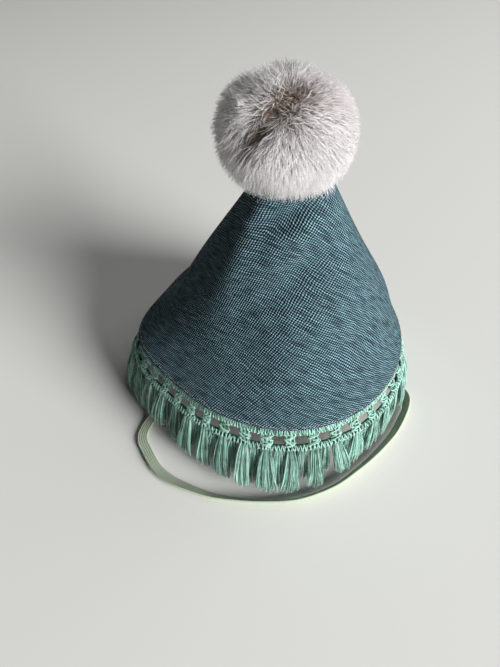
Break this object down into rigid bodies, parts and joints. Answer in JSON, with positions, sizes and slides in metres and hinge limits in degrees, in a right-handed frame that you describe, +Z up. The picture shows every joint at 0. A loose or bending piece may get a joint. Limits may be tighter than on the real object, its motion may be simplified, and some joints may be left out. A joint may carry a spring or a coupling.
{
  "type": "party hat",
  "caption": "Small cloth cone party hat with a fur pompom on its tip, a crochet tassel fringe sewn inside the rim and a flat elastic chin strap.",
  "frame": {"origin": "on the floor under the middle of the standing hat", "axes": "+Z up through the pompom, -Y towards the front, where the elastic lies, +X to the right seen from the front"},
  "size_m": [0.136, 0.1413, 0.1422],
  "materials": {
    "woven_cloth": "coarse plain weave of teal and near-black yarns, matt",
    "pile_fur": "long soft pile, pale warm grey",
    "crochet_yarn": "mint green yarn with a slight sheen",
    "knit_elastic": "sage green knitted elastic, matt"
  },
  "bodies": {
    "root": {"crown": "woven_cloth", "pompom": "pile_fur", "fringe_trim": "crochet_yarn", "chin_elastic": "knit_elastic"}
  },
  "joints": []
}
